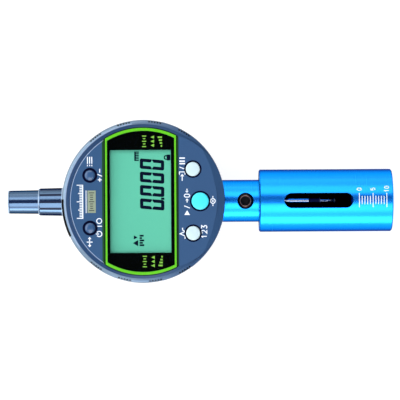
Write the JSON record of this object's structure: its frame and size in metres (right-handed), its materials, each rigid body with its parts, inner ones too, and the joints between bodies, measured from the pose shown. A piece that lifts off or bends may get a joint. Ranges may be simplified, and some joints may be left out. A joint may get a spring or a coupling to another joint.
{
  "type": "digital dial indicator in a slotted sleeve holder",
  "caption": "Digital dial indicator lying face up, its stem clamped in a stepped sleeve with a viewing slot; the display turns, the spindle slides and the buttons press.",
  "frame": {"origin": "on the back cover's outer face, on the axis that the display turns about", "axes": "+X along the spindle towards the sleeve's open end, +Z the way the display faces"},
  "size_m": [0.1413, 0.0592, 0.0284],
  "materials": {
    "bezel_abs": "fine moulded satin",
    "case_enamel": "satin enamel",
    "base_plastic": "moulded",
    "cap_gloss": "polished moulding",
    "trim_lime": "gloss",
    "window_clear": "clear",
    "mask_black": "gloss print",
    "lcd_green": "liquid crystal glass",
    "holder_white": "moulded",
    "button_grey": "satin",
    "button_white": "satin",
    "button_cyan": "satin",
    "rubber_black": "moulded",
    "rubber_grey": "moulded",
    "sleeve_blue": "blue anodised",
    "alloy_plain": "machined",
    "steel_ground": "ground",
    "steel_screws": "plated",
    "steel_black": "black oxide",
    "carbide": "polished",
    "brass_bush": "turned",
    "board_green": "solder mask",
    "chip_black": "moulded",
    "flex_amber": "polyimide film",
    "ink_white": "pad printed ink",
    "ink_lime": "screen printed ink",
    "ink_lcd": "liquid crystal segments",
    "badge_tan": "printed foil",
    "scale_glass": "etched"
  },
  "bodies": {
    "case_body": {"rear_case": "case_enamel", "back_cover": "case_enamel", "back_cover_screws": "steel_screws", "back_gasket": "rubber_black", "battery": "steel_screws", "battery_holder": "base_plastic", "battery_clip": "steel_screws", "stem": "steel_ground", "lower_guide_bush": "brass_bush", "upper_guide_bush": "brass_bush", "spindle_cap": "cap_gloss", "cap_seal": "rubber_black", "guide_rail": "alloy_plain", "encoder_board": "board_green", "encoder_head": "chip_black", "bracket_screws": "steel_screws", "flex_lead": "flex_amber", "friction_ring": "rubber_black", "stop_pin": "steel_ground", "return_spring": "steel_ground", "gauge_sleeve": "sleeve_blue"},
    "display_unit": {"front_bezel": "bezel_abs", "window_trim": "trim_lime", "window_lens": "window_clear", "window_mask": "mask_black", "lcd_panel": "lcd_green", "lcd_holder": "holder_white", "contact_strips": "rubber_grey", "main_board": "board_green", "board_chips": "chip_black", "keypad_membrane": "rubber_grey", "display_base": "base_plastic", "base_screws": "steel_screws", "retaining_ring": "steel_ground", "data_socket": "base_plastic"},
    "spindle_unit": {"spindle": "steel_ground", "scale_carrier": "alloy_plain", "carrier_screws": "steel_screws", "guide_pin": "steel_ground", "encoder_scale": "scale_glass", "contact_point": "steel_black", "contact_tip": "carbide"},
    "power_key": {"power_button": "button_grey"},
    "menu_key": {"menu_button": "button_grey"},
    "hold_key": {"hold_button": "button_white"},
    "zero_key": {"zero_button": "button_cyan"},
    "preset_key": {"preset_button": "button_white"},
    "port_plug": {"data_port_cover": "rubber_black"},
    "lid": {"battery_lid": "case_enamel"},
    "pad": {"clamp_pad": "brass_bush"},
    "grub": {"set_screw": "steel_black"}
  },
  "joints": [
    {"name": "display_turn", "type": "hinge", "parent": "case_body", "child": "display_unit", "pos_m": [0, 0, 0.0175], "axis": [0, 0, 1], "range_deg": [-165, 165], "deforming": ["flex_lead"]},
    {"name": "spindle_slide", "type": "slide", "parent": "case_body", "child": "spindle_unit", "axis": [-1, 0, 0], "range_m": [0, 0.0127], "stiffness_N_per_m": 40, "springref_m": -0.025, "deforming": ["return_spring"]},
    {"name": "power_press", "type": "slide", "parent": "display_unit", "child": "power_key", "axis": [0, 0, -1], "range_m": [0, 0.0004], "stiffness_N_per_m": 300, "springref_m": -0.001},
    {"name": "menu_press", "type": "slide", "parent": "display_unit", "child": "menu_key", "axis": [0, 0, -1], "range_m": [0, 0.0004], "stiffness_N_per_m": 300, "springref_m": -0.001},
    {"name": "hold_press", "type": "slide", "parent": "display_unit", "child": "hold_key", "axis": [0, 0, -1], "range_m": [0, 0.0004], "stiffness_N_per_m": 300, "springref_m": -0.001},
    {"name": "zero_press", "type": "slide", "parent": "display_unit", "child": "zero_key", "axis": [0, 0, -1], "range_m": [0, 0.0004], "stiffness_N_per_m": 300, "springref_m": -0.001},
    {"name": "preset_press", "type": "slide", "parent": "display_unit", "child": "preset_key", "axis": [0, 0, -1], "range_m": [0, 0.0004], "stiffness_N_per_m": 300, "springref_m": -0.001},
    {"name": "port_cover_pull", "type": "slide", "parent": "display_unit", "child": "port_plug", "axis": [-0.9792, -0.2028, 0], "range_m": [0, 0.004]},
    {"name": "pad_rise", "type": "slide", "parent": "case_body", "child": "pad", "axis": [0, 0, 1], "range_m": [0, 0.002]},
    {"name": "set_screw_turn", "type": "hinge", "parent": "pad", "child": "grub", "pos_m": [0.0372, 0, 0.018], "axis": [0, 0, 1], "range_deg": [0, 730]},
    {"name": "battery_lid_turn", "type": "hinge", "parent": "case_body", "child": "lid", "pos_m": [0, -0.013, 0.001], "axis": [0, 0, 1], "range_deg": [0, 60]}
  ],
  "couplings": [
    {"joint": "set_screw_turn", "follows": "pad_rise", "rad_per_m": 6283.2}
  ]
}
